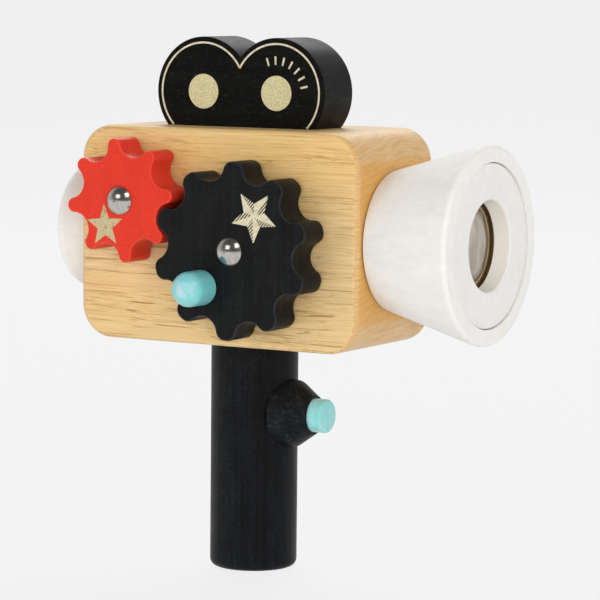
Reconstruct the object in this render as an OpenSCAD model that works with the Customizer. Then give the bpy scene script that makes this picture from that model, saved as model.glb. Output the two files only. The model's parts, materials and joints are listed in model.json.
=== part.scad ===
// Wooden toy film camera on a round handle, in millimetres.
// +X is the way the lens looks, -Y is the side with the cogs and +Z is up.
// The origin is the middle of the handle's foot.

/* [Body] */
// Length of the body block, back to front
body_length = 109; // [96:1:130]
// Width of the body block, side to side
body_width = 52.5; // [44:0.5:60]
// Height of the body block
body_height = 73.2; // [66:0.1:88]
// Radius of the block's four corners, seen from the side
body_corner_r = 11.5; // [6:0.5:14]
// Round-over along the rims of the block's two sides
body_rim_r = 2.1; // [1:0.1:3]
// Bore to look through, from the eyepiece to the lens
sight_d = 18; // [12:0.5:18]

/* [Handle] */
// Diameter of the handle
handle_d = 30; // [27:0.5:36]
// Length of the handle below the body
handle_length = 78.8; // [70:0.1:100]
// Rounding of the foot's edge
handle_foot_r = 2.5; // [1:0.5:4]
// Diameter of the tenon glued into the body
tenon_d = 20; // [14:0.5:22]
// Length of the tenon
tenon_length = 20; // [12:0.5:24]

/* [Button] */
// Distance from the body down to the button's axis
button_drop = 24.7; // [18:0.1:34]
// Diameter of the button
button_d = 11.6; // [9:0.1:13]
// How far the button can be pushed in
button_travel = 3; // [1:0.1:4]
// How far the button stands out of its collar when pushed in
button_left = 2.3; // [0.5:0.1:3]
// Rounding of the button's end
button_end_r = 1.1; // [0.5:0.1:2.5]
// Width of the button's flange, which the collar traps
button_flange_w = 1.5; // [1:0.1:2]
// Thickness of the button's flange
button_flange_t = 2.5; // [1.5:0.1:4]
// Diameter of the collar's skirt
collar_d = 23.2; // [20:0.1:26]
// Width of the lip round the button at the collar's tip
collar_lip = 0.8; // [0.4:0.1:1.5]
// Length of the collar's straight skirt
collar_skirt = 5.1; // [4:0.1:8]
// Length of the collar's cone
collar_cone = 7.3; // [5:0.1:10]
// Rounding of the shoulder between skirt and cone
collar_shoulder_r = 3; // [1:0.1:4]
// Depth of the collar's seat below the handle's surface
collar_seat_depth = 3.3; // [2:0.1:4.5]

/* [Spring] */
// Diameter of the spring's wire
spring_wire_d = 0.9; // [0.6:0.1:1.1]
// Turns of the spring
spring_turns = 6; // [4:1:8]
// Room for the spring between the button at rest and the bore's floor
spring_length = 17.5; // [14:0.1:19]

/* [Film magazine] */
// Diameter of the two round lobes
lobe_d = 37.2; // [30:0.1:40]
// Distance between the lobes' centres
lobe_spacing = 28.8; // [26:0.1:31]
// Height of the lobes' centres above the body
lobe_lift = 11.8; // [10:0.1:14]
// Depth of the magazine, side to side
magazine_depth = 19.5; // [16:0.5:30]
// Rounding of the magazine's rims
magazine_rim_r = 0.5; // [0.3:0.1:2]
// How far the magazine sits behind the body's middle
magazine_behind = 0.3; // [0:0.1:3]
// How far the magazine sits towards the cog side
magazine_aside = 1.2; // [0:0.1:4]
// Diameter of the dowels that fix it
dowel_d = 8; // [5:0.5:10]
// Length of the dowels
dowel_length = 20; // [12:1:24]

/* [Cogs] */
// Pitch diameter for each tooth, alike on both cogs
cog_module = 5.1; // [4.6:0.05:5.4]
// Teeth on the large cog
large_teeth = 10; // [8:1:11]
// Teeth on the small cog
small_teeth = 8; // [7:1:9]
// Reach of the large cog's teeth past its pitch circle
large_addendum = 4.3; // [3.6:0.1:4.6]
// Reach of the small cog's teeth past its pitch circle
small_addendum = 0.6; // [0.3:0.1:0.8]
// Room between a tooth's tip and the bottom of the valley it enters
tooth_clearance = 0.8; // [0.6:0.1:1.2]
// Thickness of the cogs
cog_t = 12.6; // [8:0.1:16]
// Place of the large cog ahead of the body's middle
large_cog_ahead = 13.8; // [8:0.1:18]
// Place of the large cog below the body's middle
large_cog_below = 2.9; // [0:0.1:6]
// Diameter of the pins that the cogs turn on
cog_pin_d = 5; // [4:0.1:6]
// Depth of the pins in the body
cog_pin_depth = 12; // [8:0.5:14]
// Diameter of the pins' domed heads
pin_head_d = 9.9; // [8:0.1:12]
// Height of the pins' domed heads
pin_head_h = 2.8; // [2:0.1:4.5]
// Diameter of the washers behind the cogs
washer_d = 12; // [9:0.5:16]
// Thickness of the washers behind the cogs
washer_t = 1.2; // [0.8:0.1:2]

/* [Crank knob] */
// Distance from the large cog's middle to the knob
knob_throw = 16.3; // [14:0.1:18]
// Diameter of the knob at its round end
knob_d = 11.7; // [9:0.1:12.5]
// Diameter of the knob's foot on the cog
knob_foot_d = 11.9; // [10:0.1:13]
// Height of the knob in front of the cog
knob_height = 13.1; // [11:0.1:16]
// Diameter of the peg that fixes the knob in the cog
knob_peg_d = 6; // [4:0.5:8]
// Length of the peg in the cog
knob_peg_length = 8; // [5:0.5:10]

/* [Lens] */
// Length of the lens barrel in front of the body
barrel_length = 35.7; // [30:0.1:45]
// Diameter of the barrel where it meets the body
barrel_base_d = 47.3; // [42:0.1:49]
// Diameter of the barrel at its front
barrel_front_d = 67.6; // [62:0.1:74]
// Width of the barrel's rim round the ring
barrel_rim_w = 6.1; // [4:0.1:7]
// Rounding of the barrel's front edge
barrel_edge_r = 1.4; // [0.5:0.1:2.2]
// Seam left between the barrel and the body
barrel_seam = 0.35; // [0.1:0.05:0.6]
// Rounding of the barrel's edge on the body
barrel_base_r = 0.6; // [0.2:0.1:1]
// Diameter of the spigot that fixes the barrel in the body
barrel_spigot_d = 30; // [24:0.5:36]
// Thickness of the ring
ring_t = 6.2; // [4:0.1:8]
// How far the ring lies below the barrel's rim
ring_inset = 0.4; // [0.1:0.1:1]
// Width of the ring's face, from its mouth to its edge
ring_w = 12.3; // [9:0.1:15]
// How much wider than the mouth the lens is, on each side
lens_lip = 1.7; // [1.5:0.1:3]
// Length of the spacer between ring and lens
spacer_length = 1.4; // [1:0.1:4]
// Wall of the spacer
spacer_wall = 1; // [0.8:0.1:1.4]
// Thickness of the lens at its edge
lens_edge_t = 2.5; // [1.5:0.1:4]
// Height of the lens's faceted crown
lens_crown_h = 1.5; // [0.8:0.1:1.8]
// Facets round the lens's crown
lens_facets = 8; // [6:1:12]

/* [Eyepiece] */
// Length of the eyepiece behind the body
eyepiece_length = 13.7; // [9:0.1:18]
// Diameter of the eyepiece where it meets the body
eyepiece_base_d = 37; // [32:0.5:42]
// Diameter of the eyepiece at its rear rim
eyepiece_rim_d = 46.6; // [40:0.1:49]
// Rounding of the rear rim
eyepiece_rim_r = 2.5; // [1:0.1:4]
// Rounding of the hole's mouth
eyepiece_mouth_r = 2; // [0.5:0.1:3]
// Diameter of the spigot that fixes the eyepiece in the body
eyepiece_spigot_d = 26; // [22:0.5:30]

/* [Fits] */
// Gap round a piece that is glued in its hole
glue_gap = 0.05; // [0.02:0.01:0.1]
// Gap round a pin or plunger that turns or slides
run_gap = 0.06; // [0.03:0.01:0.1]
// Gap between faces that pass each other
free_gap = 0.3; // [0.2:0.05:0.5]
// Gap all round the ring in the barrel
ring_gap = 0.25; // [0.05:0.05:0.4]
// Length of the spigots in the body
spigot_length = 9; // [6:0.5:12]
// Room left at the bottom of a glued hole
hole_spare = 0.4; // [0.2:0.1:1]

/* [Hidden] */
$fn = 96;
arc_steps = 6;
overrun = 1;

wood = "burlywood";
black = "#1d1d1f";
white = "ivory";
red = "#e23c2c";
turquoise = "#7fd4d0";
steel = "silver";
bare_wood = "peru";

// Places on the body, and of the magazine on it
body_bottom = handle_length;
body_middle = body_bottom + body_height / 2;
body_top = body_bottom + body_height;
body_front = body_length / 2;
body_side = body_width / 2;
magazine_at = [-magazine_behind, -magazine_aside, body_top];

// Button and its collar, measured along X from the handle's axis
button_axis = body_bottom - button_drop;
collar_seat = handle_d / 2 - collar_seat_depth;
collar_tip = collar_seat + collar_skirt + collar_cone;
collar_bore_d = button_d + 2 * run_gap;
collar_tip_d = collar_bore_d + 2 * collar_lip;
button_flange_d = button_d + 2 * button_flange_w;
spring_bore_d = button_flange_d + 2 * free_gap;
spring_top = collar_seat - button_flange_t;
spring_floor = spring_top - spring_length;
spring_d = button_d - spring_wire_d;
spring_turn_rings = 8;
spring_rings = spring_turn_rings * spring_turns;
spring_sides = 6;
spring_rise = spring_length - spring_wire_d - free_gap;

// Cogs: a bearing is an angle clockwise from up, as seen from the cog side
large_pitch_r = large_teeth * cog_module / 2;
small_pitch_r = small_teeth * cog_module / 2;
large_outer_r = large_pitch_r + large_addendum;
small_outer_r = small_pitch_r + small_addendum;
large_root_r = large_pitch_r - small_addendum - tooth_clearance;
small_root_r = small_pitch_r - large_addendum - tooth_clearance;
large_bearing = 2.65;
mesh_bearing = -71;
mesh_lag = 1.5;
small_bearing = mesh_bearing + 180 + 180 / small_teeth
    - (large_bearing - mesh_bearing) * large_teeth / small_teeth - mesh_lag;
large_cog_at = [large_cog_ahead, body_middle - large_cog_below];
small_cog_at = large_cog_at + polar(large_pitch_r + small_pitch_r, mesh_bearing);
cog_back = washer_t + free_gap;
cog_front = cog_back + cog_t;
pin_head_at = cog_front + free_gap;
cog_bore_d = cog_pin_d + 2 * run_gap;
// Shares of the distance from tooth to tooth
tooth_spacing = PI * cog_module;
large_notch_share = 0.34;
small_notch_share = 0.345;
large_tip_share = 0.21;
small_tip_share = 0.15;

// Crank knob
knob_bearing = 220;
knob_at = polar(knob_throw, knob_bearing);
knob_foot_r = 0.6;
// Share of the knob's radius
knob_end_share = 0.9;

// Lens and barrel, measured along X from the body's front
ring_d = barrel_front_d - 2 * barrel_rim_w;
recess_floor = barrel_length - ring_inset - ring_t;
mouth_d = ring_d - 2 * (ring_gap + ring_w);
lens_d = mouth_d + 2 * lens_lip;
lens_front = recess_floor - spacer_length;
lens_back = lens_front - lens_edge_t;
mouth_edge_r = 0.8;
// Shares of the lens's radius
crown_foot_share = 0.88;
crown_top_share = 0.3;

// A point at a distance and a bearing from the middle
function polar(r, bearing) = r * [sin(bearing), cos(bearing)];
function bearing(v) = atan2(v.x, v.y);
function turned(p, angle) = [p.x * cos(angle) + p.y * sin(angle), p.y * cos(angle) - p.x * sin(angle)];
function flat(p) = [p.x, p.y];
function unit(v) = v / norm(v);

// Points of an arc from one bearing to another
function arc(centre, r, from, to, steps = arc_steps) =
    [for (k = [0:steps]) centre + polar(r, from + (to - from) * k / steps)];

// Points of an outline of [x, y, radius] corners, each rounded by its radius
function rounded(corners) = let (n = len(corners))
    [for (i = [0:n - 1]) each corner_arc(corners[(i + n - 1) % n], corners[i], corners[(i + 1) % n])];

function corner_arc(before, at, after) = at.z == 0 ? [flat(at)] :
    let (u = unit(flat(before - at)),
         v = unit(flat(after - at)),
         half = acos(u * v) / 2,
         centre = flat(at) + unit(u + v) * at.z / sin(half),
         start = bearing(flat(at) + u * at.z / tan(half) - centre),
         sweep = sign(cross(u, v)) * (180 - 2 * half))
    arc(centre, at.z, start, start + sweep);

// Outline of a cog: round valleys, and teeth with rounded tips
function cog_outline(teeth, outer_r, root_r, notch_r, tip_r) =
    let (half = 180 / teeth,
         notch_at = root_r + notch_r,
         tip_at = outer_r - tip_r,
         reach = notch_r + tip_r,
         spread = acos((tip_at * tip_at + notch_at * notch_at - reach * reach) / (2 * tip_at * notch_at)),
         tip_bearing = max(0, half - spread),
         tip = polar(tip_at, tip_bearing),
         notch = polar(notch_at, half),
         lean = bearing(notch - tip),
         flank = concat(arc(tip, tip_r, tip_bearing, lean), arc(notch, notch_r, lean + 180, half + 180)),
         steps = len(flank),
         mirrored = [for (k = [steps - 2:-1:0]) [-flank[k].x, flank[k].y]])
    [for (i = [0:teeth - 1], p = concat(mirrored, flank)) turned(p, 360 * i / teeth)];

// A point on the spring's wire, round ring k and at an angle round the wire
function spring_centre(k) = let (a = 360 * spring_turns * k / spring_rings)
    [spring_rise * k / spring_rings, spring_d / 2 * cos(a), spring_d / 2 * sin(a)];
function spring_point(k, angle) = let (a = 360 * spring_turns * k / spring_rings,
    out = [0, cos(a), sin(a)],
    round = PI * spring_d * spring_turns,
    along = unit([spring_rise, -round * sin(a), round * cos(a)]))
    spring_centre(k) + spring_wire_d / 2 * (cos(angle) * out + sin(angle) * cross(along, out));
spring_half_turn = spring_turn_rings / 2;
spring_ring_gap = min([for (i = [0:spring_rings - spring_half_turn])
    for (j = [i + spring_half_turn:spring_rings]) norm(spring_centre(i) - spring_centre(j))]) - spring_wire_d;

// Sets a shape that is drawn along Z along X instead
module along_x(x, z) {
    translate([x, 0, z]) rotate([0, 90, 0]) children();
}

// Sets a shape that is drawn along Z on the cog side, pointing outwards
module on_side(at) {
    translate([at.x, -body_side, at.y]) rotate([90, 0, 0]) children();
}

module turned_piece(corners) {
    rotate_extrude() polygon(rounded(corners));
}

module cog(teeth, outer_r, root_r, notch_r, tip_r, start) {
    translate([0, 0, cog_back]) rotate([0, 0, -start]) linear_extrude(cog_t) difference() {
        polygon(cog_outline(teeth, outer_r, root_r, notch_r, tip_r));
        circle(d = cog_bore_d);
    }
}

// Half of the section across the body, from a corner's axis outwards
module end_section() {
    polygon(rounded([[0, -body_side, 0], [body_corner_r, -body_side, body_rim_r],
        [body_corner_r, body_side, body_rim_r], [0, body_side, 0]]));
}

// The block with round corners and rims: a middle, two ends and four corners that meet face to face
module rounded_block() {
    straight_x = body_length - 2 * body_corner_r;
    straight_z = body_height - 2 * body_corner_r;
    half_z = body_height / 2;
    rotate([90, 0, 90]) linear_extrude(straight_x, center = true)
        polygon(rounded([for (p = [[-1, -1], [1, -1], [1, 1], [-1, 1]])
            [p.x * body_side, p.y * half_z, body_rim_r]]));
    for (end = [0, 1]) rotate([0, 0, 180 * end]) translate([straight_x / 2, 0, 0])
        linear_extrude(straight_z, center = true) end_section();
    for (corner = [0:3]) {
        place = [[1, 1], [-1, 1], [-1, -1], [1, -1]][corner];
        translate([place.x * straight_x / 2, 0, place.y * straight_z / 2])
            rotate([0, -90 * corner, 0]) rotate([90, 0, 0]) rotate_extrude(angle = 90) end_section();
    }
}

module body_block() {
    color(wood) difference() {
        translate([0, 0, body_middle]) rounded_block();
        along_x(0, body_middle) cylinder(d = sight_d, h = body_length + overrun, center = true);
        along_x(body_front - spigot_length - hole_spare, body_middle)
            cylinder(d = barrel_spigot_d + 2 * glue_gap, h = spigot_length + hole_spare + overrun);
        along_x(-body_front - overrun, body_middle)
            cylinder(d = eyepiece_spigot_d + 2 * glue_gap, h = spigot_length + hole_spare + overrun);
        translate([0, 0, body_bottom - overrun])
            cylinder(d = tenon_d + 2 * glue_gap, h = tenon_length + hole_spare + overrun);
        for (at = [large_cog_at, small_cog_at]) on_side(at)
            translate([0, 0, -cog_pin_depth - hole_spare])
                cylinder(d = cog_pin_d + 2 * glue_gap, h = cog_pin_depth + hole_spare + overrun);
        for (end = [-1, 1])
            translate(magazine_at + [end * lobe_spacing / 2, 0, -dowel_length / 2 - hole_spare])
                cylinder(d = dowel_d + 2 * glue_gap, h = dowel_length);
    }
}

// One lobe of the magazine, cut at the middle and at the foot
module magazine_half() {
    depth = magazine_depth / 2;
    reach = lobe_spacing + lobe_d;
    intersection() {
        translate([lobe_spacing / 2, 0, lobe_lift]) rotate([90, 0, 0])
            turned_piece([[0, -depth, 0], [lobe_d / 2, -depth, magazine_rim_r],
                [lobe_d / 2, depth, magazine_rim_r], [0, depth, 0]]);
        translate([0, -magazine_depth, 0]) cube([reach, 2 * magazine_depth, reach]);
    }
}

module film_magazine() {
    color(black) translate(magazine_at) difference() {
        union() {
            for (end = [0, 1]) rotate([0, 0, 180 * end]) magazine_half();
            translate([-lobe_spacing / 4, -magazine_depth / 2, 0])
                cube([lobe_spacing / 2, magazine_depth, lobe_lift / 2]);
        }
        for (end = [-1, 1]) translate([end * lobe_spacing / 2, 0, -dowel_length / 2])
            cylinder(d = dowel_d + 2 * glue_gap, h = dowel_length + hole_spare);
    }
}

module magazine_dowel(end) {
    color(bare_wood) translate(magazine_at + [end * lobe_spacing / 2, 0, 0])
        cylinder(d = dowel_d, h = dowel_length, center = true);
}

module handle_grip() {
    color(black) difference() {
        turned_piece([[0, 0, 0], [handle_d / 2, 0, handle_foot_r], [handle_d / 2, handle_length, 0],
            [tenon_d / 2, handle_length, 0], [tenon_d / 2, handle_length + tenon_length, 0],
            [0, handle_length + tenon_length, 0]]);
        along_x(collar_seat, button_axis) cylinder(d = collar_d + 2 * glue_gap, h = handle_d);
        along_x(spring_floor, button_axis) cylinder(d = spring_bore_d, h = handle_d);
    }
}

module button_collar() {
    color(black) along_x(collar_seat, button_axis)
        turned_piece([[collar_bore_d / 2, 0, 0], [collar_d / 2, 0, 0],
            [collar_d / 2, collar_skirt, collar_shoulder_r],
            [collar_tip_d / 2, collar_skirt + collar_cone, 0],
            [collar_bore_d / 2, collar_skirt + collar_cone, 0]]);
}

module push_button() {
    flange_back = collar_seat - button_flange_t;
    end = collar_tip + button_left + button_travel - flange_back;
    color(turquoise) along_x(flange_back, button_axis)
        turned_piece([[0, 0, 0], [button_flange_d / 2, 0, 0], [button_flange_d / 2, button_flange_t, 0],
            [button_d / 2, button_flange_t, 0], [button_d / 2, end, button_end_r], [0, end, 0]]);
}

// One unbroken wire from the bore's floor to the button's flange
module button_spring() {
    echo("least gap between the spring's turns", spring_ring_gap);
    points = [for (k = [0:spring_rings], s = [0:spring_sides - 1]) spring_point(k, 360 * s / spring_sides)];
    last = spring_rings * spring_sides;
    sides = [for (k = [0:spring_rings - 1], s = [0:spring_sides - 1])
        let (a = k * spring_sides + s, b = k * spring_sides + (s + 1) % spring_sides)
        each [[a, a + spring_sides, b], [b, a + spring_sides, b + spring_sides]]];
    caps = [for (s = [1:spring_sides - 2]) each [[0, s, s + 1], [last, last + s + 1, last + s]]];
    color(steel) translate([spring_floor + spring_wire_d / 2 + free_gap / 2, 0, button_axis])
        polyhedron(points, concat(sides, caps));
}

module large_cog() {
    color(black) on_side(large_cog_at) difference() {
        cog(large_teeth, large_outer_r, large_root_r, large_notch_share * tooth_spacing,
            large_tip_share * tooth_spacing, large_bearing);
        translate([knob_at.x, knob_at.y, cog_front - knob_peg_length - hole_spare])
            cylinder(d = knob_peg_d + 2 * glue_gap, h = knob_peg_length + hole_spare + overrun);
    }
}

module small_cog() {
    color(red) on_side(small_cog_at)
        cog(small_teeth, small_outer_r, small_root_r, small_notch_share * tooth_spacing,
            small_tip_share * tooth_spacing, small_bearing);
}

// A steel pin with a domed head, driven into the body
module cog_pin(at) {
    ball_r = (pin_head_d * pin_head_d / 4 + pin_head_h * pin_head_h) / (2 * pin_head_h);
    color(steel) on_side(at) {
        translate([0, 0, pin_head_at]) rotate_extrude() intersection() {
            translate([0, pin_head_h - ball_r]) circle(ball_r);
            square(pin_head_d);
        }
        translate([0, 0, -cog_pin_depth]) cylinder(d = cog_pin_d, h = cog_pin_depth + pin_head_at);
    }
}

module cog_washer(at) {
    color(steel) on_side(at) linear_extrude(washer_t) difference() {
        circle(d = washer_d);
        circle(d = cog_bore_d);
    }
}

module crank_knob() {
    color(turquoise) on_side(large_cog_at) translate([knob_at.x, knob_at.y, cog_front])
        turned_piece([[0, -knob_peg_length, 0], [knob_peg_d / 2, -knob_peg_length, 0], [knob_peg_d / 2, 0, 0],
            [knob_foot_d / 2, 0, knob_foot_r], [knob_d / 2, knob_height, knob_end_share * knob_d / 2],
            [0, knob_height, 0]]);
}

module lens_barrel() {
    recess_r = ring_d / 2;
    seat_r = lens_d / 2 + glue_gap;
    color(white) along_x(body_front, body_middle)
        turned_piece([[sight_d / 2, -spigot_length, 0], [barrel_spigot_d / 2, -spigot_length, 0],
            [barrel_spigot_d / 2, barrel_seam, 0], [barrel_base_d / 2, barrel_seam, barrel_base_r],
            [barrel_front_d / 2, barrel_length, barrel_edge_r], [recess_r, barrel_length, 0],
            [recess_r, recess_floor, 0], [seat_r, recess_floor, 0], [seat_r, lens_back, 0],
            [sight_d / 2, lens_back, 0]]);
}

module lens_ring() {
    front = recess_floor + ring_t;
    outer_r = ring_d / 2 - ring_gap;
    color(white) along_x(body_front, body_middle)
        turned_piece([[mouth_d / 2, recess_floor, 0], [outer_r, recess_floor, 0],
            [outer_r, front, mouth_edge_r], [mouth_d / 2, front, mouth_edge_r]]);
}

module lens_spacer() {
    color(bare_wood) along_x(body_front + lens_front, body_middle)
        linear_extrude(spacer_length) difference() {
            circle(d = lens_d);
            circle(d = lens_d - 2 * spacer_wall);
        }
}

module prism_lens() {
    color("lightcyan", 0.5) along_x(body_front + lens_back, body_middle) {
        cylinder(d = lens_d, h = lens_edge_t);
        translate([0, 0, lens_edge_t])
            cylinder(d1 = crown_foot_share * lens_d, d2 = crown_top_share * lens_d, h = lens_crown_h,
                $fn = lens_facets);
    }
}

module eyepiece_cup() {
    color(white) translate([-body_front, 0, body_middle]) rotate([0, -90, 0])
        turned_piece([[sight_d / 2, -spigot_length, 0], [eyepiece_spigot_d / 2, -spigot_length, 0],
            [eyepiece_spigot_d / 2, 0, 0], [eyepiece_base_d / 2, 0, 0],
            [eyepiece_rim_d / 2, eyepiece_length, eyepiece_rim_r],
            [sight_d / 2, eyepiece_length, eyepiece_mouth_r]]);
}

body_block();
film_magazine();
magazine_dowel(1);  // magazine_dowel_front
magazine_dowel(-1);  // magazine_dowel_rear
handle_grip();
button_collar();
push_button();
button_spring();
large_cog();
cog_pin(large_cog_at);  // large_cog_pin
cog_washer(large_cog_at);  // large_cog_washer
crank_knob();
small_cog();
cog_pin(small_cog_at);  // small_cog_pin
cog_washer(small_cog_at);  // small_cog_washer
lens_barrel();
lens_ring();
lens_spacer();
prism_lens();
eyepiece_cup();
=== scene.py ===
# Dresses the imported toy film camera: materials, foil marks, rounded cogs, lights and the camera.
# Lengths are in metres unless a name ends in _MM.

import json
import math

import bmesh
import bpy
from mathutils import Matrix, Vector


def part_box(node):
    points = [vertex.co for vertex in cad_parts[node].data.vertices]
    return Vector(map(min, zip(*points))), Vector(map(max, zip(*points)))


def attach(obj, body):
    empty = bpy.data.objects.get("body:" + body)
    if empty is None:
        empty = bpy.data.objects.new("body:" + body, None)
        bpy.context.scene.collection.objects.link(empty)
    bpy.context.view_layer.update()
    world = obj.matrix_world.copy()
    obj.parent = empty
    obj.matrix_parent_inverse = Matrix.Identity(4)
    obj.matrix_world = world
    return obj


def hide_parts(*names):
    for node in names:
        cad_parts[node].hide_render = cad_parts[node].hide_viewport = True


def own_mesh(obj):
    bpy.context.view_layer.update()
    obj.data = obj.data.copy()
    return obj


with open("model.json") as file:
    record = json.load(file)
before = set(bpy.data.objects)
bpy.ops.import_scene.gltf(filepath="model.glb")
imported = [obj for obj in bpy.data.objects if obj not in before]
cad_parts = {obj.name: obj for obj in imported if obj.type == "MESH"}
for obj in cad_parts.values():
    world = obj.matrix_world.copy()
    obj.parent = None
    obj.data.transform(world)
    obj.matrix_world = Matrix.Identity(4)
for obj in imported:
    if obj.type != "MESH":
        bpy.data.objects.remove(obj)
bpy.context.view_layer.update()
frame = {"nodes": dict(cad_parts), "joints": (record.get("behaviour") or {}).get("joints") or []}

MM = 0.001
JOINTS = {joint["name"]: joint for joint in frame["joints"]}


# Helpers for node materials

MIX_COLOUR_A = 6
MIX_COLOUR_B = 7
MIX_COLOUR_OUT = 2


class Shade:
    """One principled material, with short calls for the nodes that feed it."""

    def __init__(self, name, **settings):
        self.material = bpy.data.materials.new(name)
        self.material.use_nodes = True
        self.tree = self.material.node_tree
        self.shader = self.tree.nodes["Principled BSDF"]
        for socket, value in settings.items():
            self.shader.inputs[socket.replace("_", " ")].default_value = value
        coords = self.tree.nodes.new("ShaderNodeTexCoord")
        self.place = coords.outputs["Object"]
        self.normal = coords.outputs["Normal"]

    def feed(self, socket, value):
        if isinstance(value, bpy.types.NodeSocket):
            self.tree.links.new(value, socket)
        else:
            socket.default_value = value

    def set(self, name, value):
        self.feed(self.shader.inputs[name], value)

    def math(self, operation, a, b=0.0):
        node = self.tree.nodes.new("ShaderNodeMath")
        node.operation = operation
        self.feed(node.inputs[0], a)
        self.feed(node.inputs[1], b)
        return node.outputs[0]

    def times(self, a, b):
        return self.math("MULTIPLY", a, b)

    def stretched(self, scale, shift=(0.0, 0.0, 0.0), place=None):
        node = self.tree.nodes.new("ShaderNodeMapping")
        node.inputs["Location"].default_value = shift
        node.inputs["Scale"].default_value = scale
        self.feed(node.inputs["Vector"], place or self.place)
        return node.outputs["Vector"]

    def shifted(self, lift):
        """The place, moved up and sideways by a length that may vary."""
        node = self.tree.nodes.new("ShaderNodeVectorMath")
        self.feed(node.inputs[0], self.place)
        self.feed(node.inputs[1], self.joined(0.0, lift, lift))
        return node.outputs["Vector"]

    def noise(self, scale, detail=2.0, shift=(0.0, 0.0, 0.0), roughness=0.5, place=None):
        node = self.tree.nodes.new("ShaderNodeTexNoise")
        node.inputs["Scale"].default_value = 1.0
        node.inputs["Detail"].default_value = detail
        node.inputs["Roughness"].default_value = roughness
        self.feed(node.inputs["Vector"], self.stretched(scale, shift, place))
        return node.outputs["Fac"]

    def range(self, value, low, high, to_low=0.0, to_high=1.0):
        node = self.tree.nodes.new("ShaderNodeMapRange")
        for name, number in zip(("From Min", "From Max", "To Min", "To Max"), (low, high, to_low, to_high)):
            node.inputs[name].default_value = number
        self.feed(node.inputs["Value"], value)
        return node.outputs["Result"]

    def mix(self, amount, a, b):
        """Colour a with a share of colour b."""
        node = self.tree.nodes.new("ShaderNodeMix")
        node.data_type = "RGBA"
        self.feed(node.inputs["Factor"], amount)
        self.feed(node.inputs[MIX_COLOUR_A], a)
        self.feed(node.inputs[MIX_COLOUR_B], b)
        return node.outputs[MIX_COLOUR_OUT]

    def part(self, vector, axis):
        node = self.tree.nodes.new("ShaderNodeSeparateXYZ")
        self.feed(node.inputs[0], vector)
        return node.outputs[axis]

    def joined(self, x, y, z):
        node = self.tree.nodes.new("ShaderNodeCombineXYZ")
        for socket, value in zip(node.inputs, (x, y, z)):
            self.feed(socket, value)
        return node.outputs["Vector"]

    def length(self, vector):
        node = self.tree.nodes.new("ShaderNodeVectorMath")
        node.operation = "LENGTH"
        self.feed(node.inputs[0], vector)
        return node.outputs["Value"]

    def bump(self, height, depth, strength=1.0):
        node = self.tree.nodes.new("ShaderNodeBump")
        node.inputs["Strength"].default_value = strength
        node.inputs["Distance"].default_value = depth
        self.feed(node.inputs["Height"], height)
        self.set("Normal", node.outputs["Normal"])


def linear(red, green, blue):
    """A colour given as 0 to 255 on screen, as the linear colour that a shader takes."""
    parts = [value / 255 for value in (red, green, blue)]
    return [p / 12.92 if p <= 0.04045 else ((p + 0.055) / 1.055) ** 2.4 for p in parts] + [1.0]


def along(axis, lengthwise, across):
    """Scales for a pattern that is stretched along one axis."""
    return tuple(lengthwise if axis == name else across for name in "XYZ")


# Materials

# Shares of each tone in the wood's colour
BAND_SHARE = 0.6
BROAD_SHARE = 0.18
STREAK_SHARE = 0.38
FIBRE_SHARE = 0.32
HAIRLINE_SHARE = 0.74
DASH_SHARE = 0.72
CORNER_SHARE = 0.80
END_SHARE = 0.85
SPECK_SHARE = 0.30
RING_SHARE = 0.62

# Heights between which the block grows paler, and its hairlines stronger, towards the foot
PALE_FROM = 140 * MM
PALE_TO = 85 * MM
HAIRLINES_FROM = 128 * MM
HAIRLINES_TO = 95 * MM

# How far the grain sways and slopes, and the middle of the tree that the end rings go round
GRAIN_SWAY = 1.6 * MM
GRAIN_SLOPE = 0.018
HEART_Y = 16 * MM
HEART_Z = -60 * MM


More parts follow.
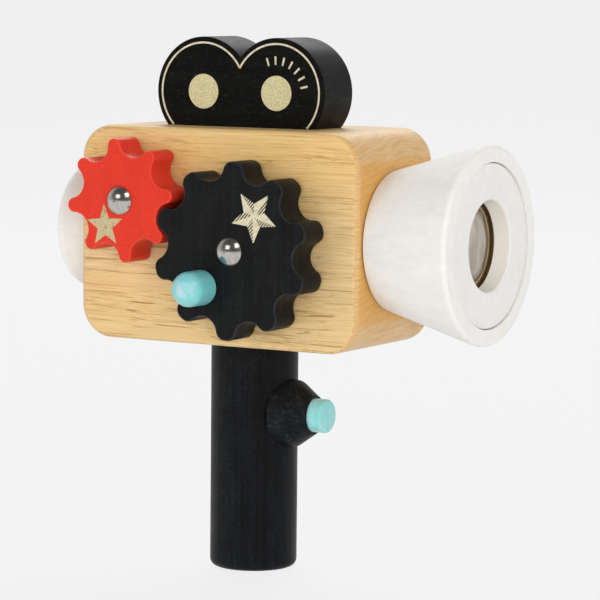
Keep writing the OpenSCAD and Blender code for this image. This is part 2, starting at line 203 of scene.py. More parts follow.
def natural_wood(name, light, pale, streak, pore, end, corner):
    """Straight-grained wood along x: soft bands, broken streaks, short dark pores, rings on its ends."""
    shade = Shade(name, Coat_Weight=0.15, Coat_Roughness=0.34, IOR=1.46)
    sway_noise = shade.noise((11.0, 30.0, 30.0), 2.0, (0.3, 0.0, 0.7))
    sway = shade.range(sway_noise, 0.25, 0.75, -GRAIN_SWAY, GRAIN_SWAY)
    lift = shade.math("ADD", sway, shade.times(shade.part(shade.place, 0), GRAIN_SLOPE))
    grain = shade.shifted(lift)
    radius = shade.length(shade.stretched((0.0, 1.0, 1.0), (0.0, -HEART_Y, -HEART_Z), grain))
    ring_place = shade.joined(radius, shade.times(shade.part(shade.place, 1), 0.06), 0.0)
    rings = shade.noise((1300.0, 1300.0, 1300.0), 3.0, (0.0, 0.0, 0.0), 0.6, ring_place)
    bands = shade.range(shade.noise((5.0, 95.0, 95.0), 3.0, (4.0, 4.0, 4.0), 0.5, grain), 0.33, 0.67)
    lines = shade.noise((8.0, 1800.0, 1800.0), 4.0, (0.0, 3.0, 1.0), 0.62, grain)
    broad = shade.range(lines, 0.44, 0.66)
    thin = shade.range(lines, 0.570, 0.605)
    breaks = shade.range(shade.noise((34.0, 260.0, 260.0), 2.0, (1.7, 0.2, 0.0), 0.5, grain), 0.44, 0.58)
    streaks = shade.times(thin, breaks)
    fibre = shade.noise((30.0, 2800.0, 2800.0), 3.0, (0.0, 0.0, 0.0), 0.6, grain)
    pores = shade.range(shade.noise((190.0, 3000.0, 3000.0), 1.0, (2.0, 0.0, 0.0), 0.5, grain), 0.615, 0.66)
    clusters = shade.range(shade.noise((24.0, 150.0, 150.0), 2.0, (0.0, 5.0, 0.0)), 0.48, 0.62, 0.03, 0.8)
    dashes = shade.times(pores, clusters)
    height = shade.part(shade.place, 2)
    low = shade.range(height, HAIRLINES_FROM, HAIRLINES_TO, 0.40, 1.0)
    hair = shade.range(shade.noise((3.0, 1300.0, 1300.0), 2.0, (6.0, 1.0, 4.0), 0.5, grain), 0.606, 0.630)
    hairlines = shade.times(hair, low)
    facing = shade.math("ABSOLUTE", shade.part(shade.normal, 0))
    turned = shade.range(facing, 0.20, 0.55)
    flat_end = shade.range(facing, 0.975, 0.997)
    speck = shade.noise((900.0, 1900.0, 1900.0), 2.0, (1.0, 7.0, 2.0), 0.6)
    paler_foot = shade.range(height, PALE_FROM, PALE_TO, 0.0, 0.5)
    tone = shade.mix(shade.math("ADD", shade.times(bands, BAND_SHARE), paler_foot), light, pale)
    for mask, share, darker in (
        (broad, BROAD_SHARE, streak),
        (streaks, STREAK_SHARE, pore),
        (shade.range(fibre, 0.42, 0.62), FIBRE_SHARE, streak),
        (hairlines, HAIRLINE_SHARE, pore),
        (dashes, DASH_SHARE, pore),
        (turned, CORNER_SHARE, corner),
        (flat_end, END_SHARE, end),
    ):
        tone = shade.mix(shade.times(mask, share), tone, darker)
    tone = shade.mix(shade.times(turned, shade.range(speck, 0.45, 0.75, 0.0, SPECK_SHARE)), tone, pore)
    tone = shade.mix(shade.times(turned, shade.range(rings, 0.46, 0.62, 0.0, RING_SHARE)), tone, streak)
    shade.set("Base Color", tone)
    shade.set("Roughness", shade.range(fibre, 0.2, 0.8, 0.40, 0.54))
    relief = shade.math("SUBTRACT", shade.times(fibre, 0.35), shade.times(dashes, 0.4))
    shade.bump(relief, 0.12 * MM, 0.55)
    return shade.material


def painted_wood(
    name, colour, shadow, axis, grain, mottle, rough, speckle,
    coat=0.0, shine=0.2, bore=None, scuff=None, wear_and_highlight=None,
):
    """Satin paint on wood: the grain just shows, and the colour is a little uneven.

    bore is the tone of a wall that runs along x: creamier paint, made lighter as painted light in that
    shaded recess. scuff is the noise scale and the tone of rubbed marks.
    The last argument is the middle, the reach and the tone of a painted highlight: a paler patch on an end
    that faces the cog side, in place of a reflection.
    """
    shade = Shade(name, Coat_Weight=coat, Coat_Roughness=0.18, IOR=1.47, Specular_IOR_Level=shine)
    fibre = shade.noise(along(axis, 28.0, 900.0), 3.0)
    coarse = shade.noise(along(axis, 14.0, 260.0), 3.0, (1.0, 2.0, 3.0))
    cloud = shade.noise((95.0, 95.0, 95.0), 4.0, (3.0, 1.0, 2.0), 0.6)
    speck = shade.noise((2500.0, 2500.0, 2500.0), 2.0)
    lines = shade.times(shade.range(coarse, 0.40, 0.72), grain)
    tone = shade.mix(lines, colour, shadow)
    tone = shade.mix(shade.times(shade.range(fibre, 0.40, 0.75), grain), tone, shadow)
    tone = shade.mix(shade.times(shade.range(cloud, 0.35, 0.70), mottle), tone, shadow)
    tone = shade.mix(shade.range(speck, 0.40, 0.62, 0.0, speckle), tone, shadow)
    if scuff:
        rubbed_scale, rubbed_tone = scuff
        rubbed = shade.noise(rubbed_scale, 3.0, (0.0, 2.0, 5.0), 0.6)
        tone = shade.mix(shade.range(rubbed, 0.56, 0.72, 0.0, 0.35), tone, rubbed_tone)
    # The bore wall's tone is partly creamier paint and partly painted light that lifts the shaded recess.
    if bore:
        facing = shade.math("ABSOLUTE", shade.part(shade.normal, 0))
        inside = shade.mix(shade.range(speck, 0.40, 0.62, 0.0, 0.35), bore, shadow)
        tone = shade.mix(shade.range(facing, 0.5, 0.1), tone, inside)
    # Painted highlight: a paler, patchy patch round a middle point on the end, in place of a reflection.
    if wear_and_highlight:
        middle, reach, paler = wear_and_highlight
        radius = shade.length(shade.stretched((1.0, 0.0, 1.0), (-middle[0], 0.0, -middle[1])))
        patchy = shade.range(shade.noise((240.0, 240.0, 240.0), 2.0), 0.35, 0.65, 0.0, 0.75)
        tone = shade.mix(shade.times(shade.range(radius, reach, 0.0), patchy), tone, paler)
    shade.set("Base Color", tone)
    shade.set("Roughness", shade.range(cloud, 0.25, 0.75, rough - 0.05, rough + 0.06))
    height = shade.math("ADD", shade.times(fibre, 0.7), shade.times(speck, 0.3))
    shade.bump(height, 0.09 * MM, 0.7)
    return shade.material


def polished_steel(name):
    """Bright plated steel with the faintest orange peel and hairline scratches."""
    shade = Shade(name, Metallic=1.0)
    peel = shade.noise((420.0, 420.0, 420.0), 2.0)
    smear = shade.noise((900.0, 160.0, 160.0), 3.0)
    shade.set("Roughness", shade.range(smear, 0.3, 0.8, 0.17, 0.27))
    tone = shade.mix(shade.range(smear, 0.35, 0.75), linear(204, 200, 195), linear(182, 176, 169))
    shade.set("Base Color", tone)
    shade.bump(peel, 0.02 * MM, 0.30)
    return shade.material


def drawn_steel(name):
    """Spring wire: darker, drawn along its length."""
    shade = Shade(name, Metallic=1.0)
    marks = shade.noise((2400.0, 700.0, 700.0), 2.0)
    shade.set("Roughness", shade.range(marks, 0.3, 0.7, 0.24, 0.40))
    shade.set("Base Color", shade.mix(marks, linear(164, 164, 166), linear(122, 122, 126)))
    shade.bump(marks, 0.02 * MM, 0.4)
    return shade.material


def pale_foil(name, bright, dull, under, wear_and_highlight):
    """Hot-stamped pale gold foil: a little uneven, with specks where the paint below shows."""
    shade = Shade(name, Metallic=0.35, IOR=1.5)
    glitter = shade.noise((2300.0, 2300.0, 2300.0), 2.0)
    patch = shade.noise((520.0, 520.0, 520.0), 3.0, (5.0, 0.0, 2.0))
    tone = shade.mix(shade.range(glitter, 0.35, 0.70), bright, dull)
    gone = shade.times(shade.range(patch, 0.52, 0.66), wear_and_highlight)
    tone = shade.mix(gone, tone, under)
    shade.set("Base Color", tone)
    shade.set("Roughness", shade.range(glitter, 0.3, 0.7, 0.30, 0.50))
    shade.bump(glitter, 0.03 * MM, 0.5)
    return shade.material


# The lens's axis, and the painted tones out from it, which stand for shade in the gaps, a highlight on the
# lens's edge and reflected wood: where each begins, where it is full, and its colour
LENS_AXIS_Z = 115.4 * MM
LENS_RIM_PAINTED_LIGHT = (
    (9.5 * MM, 12.5 * MM, linear(172, 153, 124)),
    (13.3 * MM, 13.5 * MM, linear(255, 236, 192)),
    (14.3 * MM, 14.5 * MM, linear(76, 52, 26)),
    (14.7 * MM, 14.9 * MM, linear(184, 138, 80)),
    (15.2 * MM, 15.4 * MM, linear(76, 52, 26)),
)


def clear_plastic(name):
    """Moulded acrylic, a little milky, with painted highlights as faint arcs round its axis, and thin rings
    at its rim of painted shade, highlight and reflected wood.
    """
    shade = Shade(name, Transmission_Weight=0.55, IOR=1.49, Specular_IOR_Level=0.7)
    smear = shade.noise((60.0, 170.0, 55.0), 2.0, (0.4, 0.0, 0.0), 0.5)
    radius = shade.length(shade.stretched((0.0, 1.0, 1.0), (0.0, 0.0, -LENS_AXIS_Z)))
    swirl = shade.joined(radius, shade.times(smear, 4 * MM), 0.0)
    arcs = shade.noise((380.0, 380.0, 380.0), 1.0, (3.0, 0.0, 0.0), 0.5, swirl)
    away = shade.range(radius, 6 * MM, 10 * MM)
    tone = shade.mix(shade.range(smear, 0.35, 0.65), linear(246, 240, 230), linear(202, 189, 168))
    # Painted highlights: lighter arcs round the axis, towards the rim.
    arc_highlights = shade.times(shade.range(arcs, 0.45, 0.65, 0.0, 0.6), away)
    tone = shade.mix(arc_highlights, tone, linear(248, 242, 234))
    # Painted shade in the gaps, a painted highlight on the lens's edge and painted reflections of the wood
    # behind it.
    for begin, full, painted_tone in LENS_RIM_PAINTED_LIGHT:
        tone = shade.mix(shade.range(radius, begin, full), tone, painted_tone)
    shade.set("Base Color", tone)
    shade.set("Roughness", shade.range(smear, 0.3, 0.8, 0.06, 0.16))
    shade.bump(smear, 0.08 * MM, 0.25)
    return shade.material


WOOD = natural_wood(
    "natural_wood",
    light=linear(231, 192, 122), pale=linear(229, 207, 158),
    streak=linear(201, 146, 71), pore=linear(160, 106, 42),
    end=linear(222, 168, 84), corner=linear(217, 179, 126),
)
# The lens spacer's wood, far darker than the block: partly its own brown, partly painted shade for the
# recess behind the lens ring.
SHADED_BARE_WOOD = natural_wood(
    "bare_wood_painted_shade",
    light=linear(76, 50, 26), pale=linear(94, 64, 35),
    streak=linear(62, 40, 21), pore=linear(44, 28, 15),
    end=linear(73, 48, 25), corner=linear(73, 49, 26),
)
BLACK = linear(34, 37, 40)
BLACK_DEEP = linear(6, 6, 7)
MAGAZINE_BLACK = linear(21, 21, 19)
MAGAZINE_BLACK_DEEP = linear(3, 3, 3)
COG_BLACK = linear(35, 37, 38)
COG_BLACK_DEEP = linear(8, 8, 8)
RED = linear(232, 66, 43)
RED_DEEP = linear(206, 44, 30)
WHITE = linear(235, 234, 232)
BRIGHT_WHITE = linear(240, 239, 236)
WHITE_DEEP = linear(222, 219, 213)
BORE_CREAM_AND_LIGHT = linear(250, 246, 238)
TURQUOISE = linear(228, 228, 246)
TURQUOISE_DEEP = linear(108, 208, 202)
PALE_TURQUOISE = linear(146, 210, 212)
PALE_TURQUOISE_DEEP = linear(90, 192, 194)
HIGHLIGHT_LILAC = linear(206, 218, 230)

MAGAZINE_PAINT = painted_wood(
    "black_paint_magazine", MAGAZINE_BLACK, MAGAZINE_BLACK_DEEP, "X",
    grain=0.6, mottle=0.4, rough=0.42, speckle=0.6, shine=0.10,
    scuff=((420.0, 90.0, 1300.0), linear(58, 58, 54)),
)
HANDLE_PAINT = painted_wood(
    "black_paint_handle", BLACK, BLACK_DEEP, "Z",
    grain=0.6, mottle=0.4, rough=0.42, speckle=0.8, shine=0.10,
)
COLLAR_PAINT = painted_wood(
    "black_paint_collar", BLACK, BLACK_DEEP, "X",
    grain=0.5, mottle=0.3, rough=0.42, speckle=0.5, shine=0.08,
    scuff=((260.0, 1100.0, 900.0), linear(70, 72, 72)),
)
BUTTON_PAINT = painted_wood(
    "turquoise_paint_button", TURQUOISE, TURQUOISE_DEEP, "Z",
    grain=0.7, mottle=0.6, rough=0.36, speckle=0.7, coat=0.3,
)
# The paler middle of the knob's end is a painted highlight, in place of a reflection of the room.
KNOB_HIGHLIGHT_R = 5.6 * MM
knob_low, knob_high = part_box("crank_knob")
knob_middle = ((knob_low[0] + knob_high[0]) / 2, (knob_low[2] + knob_high[2]) / 2)
KNOB_PAINT = painted_wood(
    "turquoise_paint_knob", PALE_TURQUOISE, PALE_TURQUOISE_DEEP, "Y",
    grain=0.3, mottle=0.6, rough=0.34, speckle=0.4, coat=0.6,
    wear_and_highlight=(knob_middle, KNOB_HIGHLIGHT_R, HIGHLIGHT_LILAC),
)
BARREL_PAINT = painted_wood(
    "white_paint_barrel", BRIGHT_WHITE, WHITE_DEEP, "X",
    grain=0.30, mottle=0.15, rough=0.46, speckle=0.3,
)
RING_PAINT = painted_wood(
    "white_paint_ring", WHITE, WHITE_DEEP, "X",
    grain=0.30, mottle=0.20, rough=0.46, speckle=0.3, bore=BORE_CREAM_AND_LIGHT,
)
EYEPIECE_PAINT = painted_wood(
    "white_paint_eyepiece", BRIGHT_WHITE, WHITE_DEEP, "X",
    grain=0.30, mottle=0.15, rough=0.46, speckle=0.3,
)

NODE_MATERIALS = {
    "body_block": WOOD,
    "film_magazine": MAGAZINE_PAINT,
    "magazine_dowel_front": WOOD,
    "magazine_dowel_rear": WOOD,
    "handle_grip": HANDLE_PAINT,
    "button_collar": COLLAR_PAINT,
    "push_button": BUTTON_PAINT,
    "crank_knob": KNOB_PAINT,
    "large_cog_pin": polished_steel("bright_steel_head"),
    "small_cog_pin": polished_steel("bright_steel_head_small"),
    "large_cog_washer": polished_steel("bright_steel_washer"),
    "small_cog_washer": polished_steel("bright_steel_washer_small"),
    "lens_barrel": BARREL_PAINT,
    "lens_ring": RING_PAINT,
    "lens_spacer": SHADED_BARE_WOOD,
    "prism_lens": clear_plastic("clear_plastic_lens"),
    "eyepiece_cup": EYEPIECE_PAINT,
}
for node_name, material in NODE_MATERIALS.items():
    mesh = frame["nodes"][node_name].data
    for index in range(len(mesh.materials)):
        mesh.materials[index] = material


# Helpers for meshes


def add_piece(name, bm, material, body, smooth_angle=40.0):
    """Turns a bmesh into a piece that rides on a body."""
    bmesh.ops.recalc_face_normals(bm, faces=bm.faces)
    limit = math.radians(smooth_angle)
    for face in bm.faces:
        face.smooth = True
    for edge in bm.edges:
        edge.smooth = len(edge.link_faces) == 2 and edge.calc_face_angle() < limit
    data = bpy.data.meshes.new(name)
    bm.to_mesh(data)
    bm.free()
    data.materials.append(material)
    piece = bpy.data.objects.new(name, data)
    bpy.context.scene.collection.objects.link(piece)
    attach(piece, body)
    return piece


def polar(radius, bearing):
    """A point at a distance and a bearing, clockwise from up as seen from the cog side."""
    return Vector((radius * math.sin(math.radians(bearing)), radius * math.cos(math.radians(bearing))))


def bearing_of(vector):
    """The bearing of a flat vector, as polar takes it."""
    return math.degrees(math.atan2(vector.x, vector.y))


def loft(bm, rings):
    """Joins closed rings of vertices, each with as many points as the next."""
    made = [[bm.verts.new(point) for point in ring] for ring in rings]
    for near, far in zip(made, made[1:]):
        count = len(near)
        for k in range(count):
            bm.faces.new((near[k], near[(k + 1) % count], far[(k + 1) % count], far[k]))
    return made


# Cogs with rounded edges

COG_MODULE = 5.1 * MM
TOOTH_SPACING = math.pi * COG_MODULE
COG_EDGE_R = 0.5 * MM
COG_BORE_R = 2.56 * MM
COG_HUB_SHARE = 0.62
COG_SMOOTH_ANGLE = 50.0
SAME_PLACE = 1e-7
SAME_ANGLE = 1e-6


def cog_outline(teeth, outer_r, root_r, notch_r, tip_r, start, inset, steps=7):
    """Points of a cog's outline, set in from its edge by a parallel distance."""
    half = 180 / teeth
    notch_at = root_r + notch_r
    tip_at = outer_r - tip_r
    reach = notch_r + tip_r
    spread = math.degrees(math.acos((tip_at**2 + notch_at**2 - reach**2) / (2 * tip_at * notch_at)))
    tip = polar(tip_at, half - spread)
    notch = polar(notch_at, half)
    lean = bearing_of(notch - tip)
    flank = []
    for k in range(steps + 1):
        flank.append(tip + polar(tip_r - inset, half - spread + (lean - half + spread) * k / steps))
    for k in range(1, steps + 1):
        flank.append(notch + polar(notch_r + inset, lean + 180 + (half - lean) * k / steps))
    mirrored = [Vector((-point.x, point.y)) for point in reversed(flank)]
    tooth = mirrored + flank[1:-1] if abs(half - spread) < SAME_ANGLE else mirrored[1:] + flank
    points = []
    for i in range(teeth):
        angle = math.radians(start + 360 * i / teeth)
        turn = Matrix(((math.cos(angle), math.sin(angle)), (-math.sin(angle), math.cos(angle))))
        points += [turn @ point for point in tooth]
    return points


def cog_piece(name, node, body, joint, paints, teeth, outer_r, root_r, notch_share, tip_share, start):
    """A cog that stands for its CAD node, with the same outline and softly rounded edges."""
    centre = Vector(JOINTS[joint]["pos_m"])
    low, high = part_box(node)
    front, back = low[1], high[1]
    shape = (teeth, outer_r, root_r, notch_share * TOOTH_SPACING, tip_share * TOOTH_SPACING, start)

    def ring(points, y):
        return [Vector((centre.x + p.x, y, centre.z + p.y)) for p in points]

    edge_steps = 4
    rings = []
    for k in range(edge_steps + 1):
        angle = math.radians(90 * k / edge_steps)
        inset = COG_EDGE_R * (1 - math.sin(angle))
        rings.append(ring(cog_outline(*shape, inset), front + COG_EDGE_R * (1 - math.cos(angle))))
    for k in range(edge_steps + 1):
        angle = math.radians(90 - 90 * k / edge_steps)
        inset = COG_EDGE_R * (1 - math.sin(angle))
        rings.append(ring(cog_outline(*shape, inset), back - COG_EDGE_R * (1 - math.cos(angle))))
    outline = cog_outline(*shape, COG_EDGE_R)
    hub = [p.normalized() * root_r * COG_HUB_SHARE for p in outline]
    bore = [p.normalized() * COG_BORE_R for p in outline]
    rings = [ring(bore, front), ring(hub, front)] + rings + [ring(hub, back), ring(bore, back)]
    bm = bmesh.new()
    made = loft(bm, rings + [rings[0]])
    bm.faces.ensure_lookup_table()
    first_edge_face = 2 * len(outline)
    for face in bm.faces[first_edge_face:first_edge_face + edge_steps * len(outline)]:
        face.material_index = 1
    bmesh.ops.remove_doubles(bm, verts=made[0] + made[-1], dist=SAME_PLACE)
    piece = add_piece(name, bm, paints[0], body, COG_SMOOTH_ANGLE)
    piece.data.materials.append(paints[1])
    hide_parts(node)
    return piece


LARGE_COG_PAINT = painted_wood(
    "black_paint_cog", COG_BLACK, COG_BLACK_DEEP, "Z",
    grain=0.4, mottle=0.4, rough=0.42, speckle=0.8, shine=0.10,
)
LARGE_COG_EDGE = painted_wood(
    "black_paint_cog_edge", COG_BLACK, COG_BLACK_DEEP, "Y",
    grain=0.3, mottle=0.4, rough=0.32, speckle=0.6, shine=0.40,
)
SMALL_COG_PAINT = painted_wood(
    "red_paint_cog", RED, RED_DEEP, "Z",
    grain=0.25, mottle=0.40, rough=0.40, speckle=0.9,
)
SMALL_COG_EDGE = painted_wood(
    "red_paint_cog_edge", RED, RED_DEEP, "Y",
    grain=0.2, mottle=0.3, rough=0.32, speckle=0.4, shine=0.45,
)
cog_piece(
    "large_cog_dressed", "large_cog", "large_cog", "large_cog_turn",
    (LARGE_COG_PAINT, LARGE_COG_EDGE),
    teeth=10, outer_r=29.8 * MM, root_r=24.1 * MM, notch_share=0.34, tip_share=0.21, start=2.65,
)
cog_piece(
    "small_cog_dressed", "small_cog", "small_cog", "small_cog_turn",
    (SMALL_COG_PAINT, SMALL_COG_EDGE),
    teeth=8, outer_r=21.0 * MM, root_r=15.3 * MM, notch_share=0.345, tip_share=0.15, start=37.9375,
)


# Foil marks, as thin plates on the face that carries them

FOIL_PROUD = 0.06 * MM
FOIL_SUNK = 0.04 * MM
STAR_ARMS = 5
STAR_STEP = 360 / STAR_ARMS


def clipped(polygon, normal, limit):
    """The part of a convex polygon where the distance along a normal is below a limit."""
    kept = []
    for here, after in zip(polygon, polygon[1:] + polygon[:1]):
        a = here.dot(normal) - limit
        b = after.dot(normal) - limit
        if a <= 0:
            kept.append(here)
        if (a < 0 < b) or (b < 0 < a):
            kept.append(here.lerp(after, a / (a - b)))
    return kept


def add_plate(bm, polygon, face_y):
    """A closed thin plate over a flat polygon of x and z."""
    front = [bm.verts.new((p.x, face_y - FOIL_PROUD, p.y)) for p in polygon]
    back = [bm.verts.new((p.x, face_y + FOIL_SUNK, p.y)) for p in polygon]
    count = len(polygon)
    bm.faces.new(front)
    bm.faces.new(back[::-1])
    for k in range(count):
        bm.faces.new((front[k], back[k], back[(k + 1) % count], front[(k + 1) % count]))


def star_points(centre, radius, waist, turn):
    """The tips of a star, and the waists between them, as a share of its radius."""
    tips = [centre + polar(radius, turn + STAR_STEP * i) for i in range(STAR_ARMS)]
    waists = [centre + polar(radius * waist, turn + STAR_STEP * (i + 0.5)) for i in range(STAR_ARMS)]
    return tips, waists


def hatched_star(bm, centre, radius, waist, turn, face_y):
    """A five-pointed star whose arms each have one side drawn in fine strokes."""
    tips, waists = star_points(centre, radius, waist, turn)
    stroke_gap = 0.40 * MM
    stroke_pitch = 0.80 * MM
    solid_share = 0.18
    blunt = 0.35 * MM
    stroke_bearing = 132.0
    across = polar(1.0, stroke_bearing)
    for i in range(STAR_ARMS):
        tip, near, far = tips[i], waists[i - 1], waists[i]
        inner = centre.lerp(far, solid_share)
        outward = (tip - centre).normalized()
        end = tip.dot(outward) - blunt
        add_plate(bm, clipped([centre, near, tip, inner], outward, end), face_y)
        side = clipped([inner, tip, far], outward, end)
        spans = [point.dot(across) for point in side]
        level = math.floor(min(spans) / stroke_pitch) * stroke_pitch
        while level < max(spans):
            strip = clipped(side, across, level + stroke_pitch - stroke_gap)
            strip = clipped(strip, -across, -level) if len(strip) > 2 else []
            if len(strip) > 2:
                add_plate(bm, strip, face_y)
            level += stroke_pitch


def plain_star(bm, centre, radius, waist, turn, face_y):
    tips, waists = star_points(centre, radius, waist, turn)
    add_plate(bm, [point for pair in zip(tips, waists) for point in pair], face_y)


def arc_band(bm, centre, inner_r, outer_r, start, end, face_y, steps=40):
    """A curved line of foil between two bearings."""
    rails = []
    for k in range(steps + 1):
        angle = start + (end - start) * k / steps
        rails.append((centre + polar(inner_r, angle), centre + polar(outer_r, angle)))
    for (in_a, out_a), (in_b, out_b) in zip(rails, rails[1:]):
        add_plate(bm, [in_a, out_a, out_b, in_b], face_y)


COG_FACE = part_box("large_cog")[0][1]
SMALL_COG_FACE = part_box("small_cog")[0][1]
MAGAZINE_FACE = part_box("film_magazine")[0][1]
BODY_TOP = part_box("body_block")[1][2]
FOIL_UNDER = linear(150, 140, 104)
FOIL = pale_foil("pale_foil", linear(228, 218, 171), linear(194, 183, 134), FOIL_UNDER, wear_and_highlight=0.12)
FOIL_BRIGHT = pale_foil(
    "pale_foil_bright", linear(236, 228, 200), linear(206, 196, 160), FOIL_UNDER, wear_and_highlight=0.3,
)
FOIL_WORN = pale_foil(
    "pale_foil_worn", linear(216, 202, 160), linear(186, 170, 124), linear(188, 110, 76), wear_and_highlight=0.60,
)


def flat_place(joint):
    """The x and z of a joint."""
    place = JOINTS[joint]["pos_m"]
    return Vector((place[0], place[2]))


LARGE_STAR_OFFSET = Vector((9.54, 12.07)) * MM
large_star = bmesh.new()
hatched_star(
    large_star, flat_place("large_cog_turn") + LARGE_STAR_OFFSET,
    radius=9.0 * MM, waist=0.465, turn=37.3, face_y=COG_FACE,
)
add_piece("large_cog_star", large_star, FOIL_BRIGHT, "large_cog")

SMALL_STAR_OFFSET = Vector((-5.66, -8.77)) * MM
small_star = bmesh.new()
plain_star(
    small_star, flat_place("small_cog_turn") + SMALL_STAR_OFFSET,
    radius=7.4 * MM, waist=0.42, turn=-3.2, face_y=SMALL_COG_FACE,
)
add_piece("small_cog_star", small_star, FOIL_WORN, "small_cog")

LOBE_X = 14.4 * MM
MAGAZINE_X = -0.3 * MM
LOBE_Z = BODY_TOP + 11.8 * MM
LOBE_DOT_R = 5.91 * MM
DOT_SIDES = 64
LINE_OUTER_R = 16.9 * MM
LINE_INNER_R = 16.25 * MM
LINE_LIFT = 0.3 * MM
line_middle_r = (LINE_OUTER_R + LINE_INNER_R) / 2
line_foot = math.degrees(math.acos((BODY_TOP + LINE_LIFT - LOBE_Z) / line_middle_r))
line_notch = math.degrees(math.asin(LOBE_X / line_middle_r))
magazine_dots = bmesh.new()
magazine_lines = bmesh.new()
for side in (-1, 1):
    lobe = Vector((MAGAZINE_X + side * LOBE_X, LOBE_Z))
    dot = [lobe + polar(LOBE_DOT_R, 360 * k / DOT_SIDES) for k in range(DOT_SIDES)]
    add_plate(magazine_dots, dot, MAGAZINE_FACE)
    ends = (-side * line_notch, side * line_foot)
    arc_band(magazine_lines, lobe, LINE_INNER_R, LINE_OUTER_R, *ends, MAGAZINE_FACE)
TICK_INNER_R = 9.6 * MM
TICK_OUTER_R = 12.4 * MM
TICK_HALF_ANGLE = 1.7
TICK_BEARINGS = range(-18, 79, 16)
for bearing in TICK_BEARINGS:
    arc_band(
        magazine_lines, Vector((MAGAZINE_X + LOBE_X, LOBE_Z)), TICK_INNER_R, TICK_OUTER_R,
        bearing - TICK_HALF_ANGLE, bearing + TICK_HALF_ANGLE, MAGAZINE_FACE, steps=1,
    )
add_piece("magazine_dots", magazine_dots, FOIL, "camera")
add_piece("magazine_lines", magazine_lines, FOIL_BRIGHT, "camera")


# Button spring, a coiled wire with capped ends

SPRING_WIRE_R = 0.45 * MM
SPRING_COIL_R = 5.35 * MM
SPRING_TURNS = 6
SPRING_RINGS = 24 * SPRING_TURNS
SPRING_SIDES = 10


def spring_wire():
    low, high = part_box("button_spring")
    axis_z = (low[2] + high[2]) / 2
    first = low[0] + SPRING_WIRE_R
    rise = high[0] - low[0] - 2 * SPRING_WIRE_R

    def centre(k):
        angle = 2 * math.pi * SPRING_TURNS * k / SPRING_RINGS
        share = k / SPRING_RINGS
        return Vector((
            first + rise * share, SPRING_COIL_R * math.cos(angle), axis_z + SPRING_COIL_R * math.sin(angle),
        ))

    bm = bmesh.new()
    rows = []
    for k in range(SPRING_RINGS + 1):
        angle = 2 * math.pi * SPRING_TURNS * k / SPRING_RINGS
        out = Vector((0.0, math.cos(angle), math.sin(angle)))
        tangent = (centre(min(k + 1, SPRING_RINGS)) - centre(max(k - 1, 0))).normalized()
        side = tangent.cross(out).normalized()
        row = []
        for s in range(SPRING_SIDES):
            turn = 2 * math.pi * s / SPRING_SIDES
            spoke = math.cos(turn) * out + math.sin(turn) * side
            row.append(bm.verts.new(centre(k) + SPRING_WIRE_R * spoke))
        rows.append(row)
    for near, far in zip(rows, rows[1:]):
        for s in range(SPRING_SIDES):
            after = (s + 1) % SPRING_SIDES
            bm.faces.new((near[s], near[after], far[after], far[s]))
    bm.faces.new(rows[0])
    bm.faces.new(rows[-1])
    spring = add_piece("button_spring_wire", bm, drawn_steel("spring_steel_wire"), "camera")
    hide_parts("button_spring")
    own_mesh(spring)


spring_wire()


# The photograph's angle, with the point that the camera looks at

AZIMUTH = 30.09
ELEVATION = 5.98
ROLL = 0.55
TARGET = Vector((0.01774, 0.0, 0.09325))
DISTANCE = 1.0409
LENS_MM = 183.1
SENSOR_MM = 36.0


# Floor, a pale sweep that turns up behind the object


def studio_sweep():
    half_width = 6.0
    near = -6.0
    far = 3.0
    rise = 5.0
    bend = 1.6
    steps = 16
    profile = [(near, 0.0)]
    for k in range(steps + 1):
        angle = math.radians(90 * k / steps)
        profile.append((far - bend + bend * math.sin(angle), bend - bend * math.cos(angle)))
    profile.append((far, rise))
    turn = Matrix.Rotation(math.radians(AZIMUTH), 4, "Z")
    bm = bmesh.new()
    rows = [[bm.verts.new(turn @ Vector((x, y, z))) for x in (-half_width, half_width)] for y, z in profile]
    for a, b in zip(rows, rows[1:]):
        bm.faces.new((a[0], a[1], b[1], b[0]))
    for face in bm.faces:
        face.smooth = True
    data = bpy.data.meshes.new("studio_sweep")
    bm.to_mesh(data)
    bm.free()
    sweep = bpy.data.objects.new("studio_sweep", data)
    bpy.context.scene.collection.objects.link(sweep)
    paper = Shade("pale_paper", Roughness=0.9, Emission_Color=linear(241, 241, 241), Emission_Strength=0.94)
    tooth = paper.noise((400.0, 400.0, 400.0), 2.0)
    paper.set("Base Color", paper.mix(tooth, linear(32, 32, 32), linear(29, 29, 29)))
    data.materials.append(paper.material)


studio_sweep()


# Camera at the photograph's angle


def direction(azimuth, elevation):
    """Points from the object: azimuth goes round from the cog side, and elevation is above level."""
    a = math.radians(azimuth)
    e = math.radians(elevation)
    return Vector((math.sin(a) * math.cos(e), -math.cos(a) * math.cos(e), math.sin(e)))


optics = bpy.data.cameras.new("photo_camera")
optics.lens = LENS_MM
optics.sensor_width = SENSOR_MM
camera = bpy.data.objects.new("photo_camera", optics)
bpy.context.scene.collection.objects.link(camera)
back = direction(AZIMUTH, ELEVATION)
level = Vector((math.cos(math.radians(AZIMUTH)), math.sin(math.radians(AZIMUTH)), 0.0))
upright = back.cross(level)
roll = math.radians(ROLL)
right = level * math.cos(roll) + upright * math.sin(roll)
above = upright * math.cos(roll) - level * math.sin(roll)
facing_matrix = Matrix((right, above, back)).transposed().to_4x4()
camera.matrix_world = Matrix.Translation(TARGET + back * DISTANCE) @ facing_matrix
bpy.context.scene.camera = camera


# Soft studio light


def softbox(name, azimuth, elevation, distance, width, height, watts, tint, mirrored):
    """A soft rectangular light that is aimed at the target."""
    light = bpy.data.lights.new(name, "AREA")
    light.shape = "RECTANGLE"
    light.size = width
    light.size_y = height
    light.energy = watts
    light.color = tint
    box = bpy.data.objects.new(name, light)
    box.visible_glossy = mirrored
    bpy.context.scene.collection.objects.link(box)
    aim = direction(azimuth, elevation)
    box.location = TARGET + aim * distance
    box.rotation_mode = "QUATERNION"
    box.rotation_quaternion = (-aim).to_track_quat("-Z", "Y")


WARM_WHITE = (1.0, 0.99, 0.97)

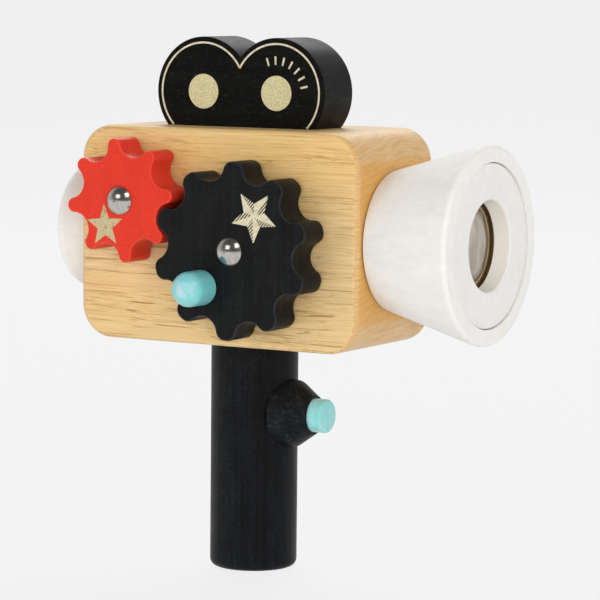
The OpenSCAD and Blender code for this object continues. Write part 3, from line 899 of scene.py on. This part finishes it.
# Each has a name, azimuth, elevation, distance, width, height, watts, tint, and whether mirrors show it
SOFTBOXES = (
    ("key_softbox", -10.0, 27.0, 2.0, 0.84, 0.66, 5.0, WARM_WHITE, True),
    ("second_softbox", 60.0, 40.0, 2.0, 0.66, 0.84, 6.8, WARM_WHITE, True),
    ("front_softbox", 34.0, 7.0, 1.9, 1.3, 0.8, 16.5, WARM_WHITE, False),
    ("left_softbox", -42.0, 14.0, 1.9, 1.1, 0.8, 7.0, (1.0, 0.99, 0.98), False),
    ("right_softbox", 88.0, 30.0, 2.2, 1.2, 1.0, 6.4, (0.99, 0.99, 1.0), False),
    ("rear_softbox", 205.0, 44.0, 2.6, 1.6, 1.2, 29.0, (1.0, 1.0, 1.0), True),
)
for settings in SOFTBOXES:
    softbox(*settings)


# Room: pale at the sides and behind, dark overhead and on the photographer's side

DARK_SIDE_AZIMUTH = AZIMUTH - 10.0
DARK_SIDE_ELEVATION = 40.0

# The room's tone by the cosine of the angle to its dark side
ROOM_TONES = (
    (0.15, (0.56, 0.565, 0.57, 1.0)),
    (0.62, (0.09, 0.09, 0.092, 1.0)),
)


def room():
    world = bpy.data.worlds.new("studio")
    world.use_nodes = True
    nodes = world.node_tree.nodes
    links = world.node_tree.links
    coords = nodes.new("ShaderNodeTexCoord")
    towards = nodes.new("ShaderNodeVectorMath")
    towards.operation = "DOT_PRODUCT"
    dark_side = direction(DARK_SIDE_AZIMUTH, DARK_SIDE_ELEVATION)
    links.new(coords.outputs["Generated"], towards.inputs[0])
    towards.inputs[1].default_value = dark_side
    ramp = nodes.new("ShaderNodeValToRGB")
    points = ramp.color_ramp.elements
    for point, (lean, tone) in zip(points, ROOM_TONES):
        point.position = lean
        point.color = tone
    links.new(towards.outputs["Value"], ramp.inputs["Fac"])
    links.new(ramp.outputs["Color"], nodes["Background"].inputs["Color"])
    nodes["Background"].inputs["Strength"].default_value = 1.0
    return world


bpy.context.scene.world = room()
bpy.context.scene.view_settings.view_transform = "Standard"
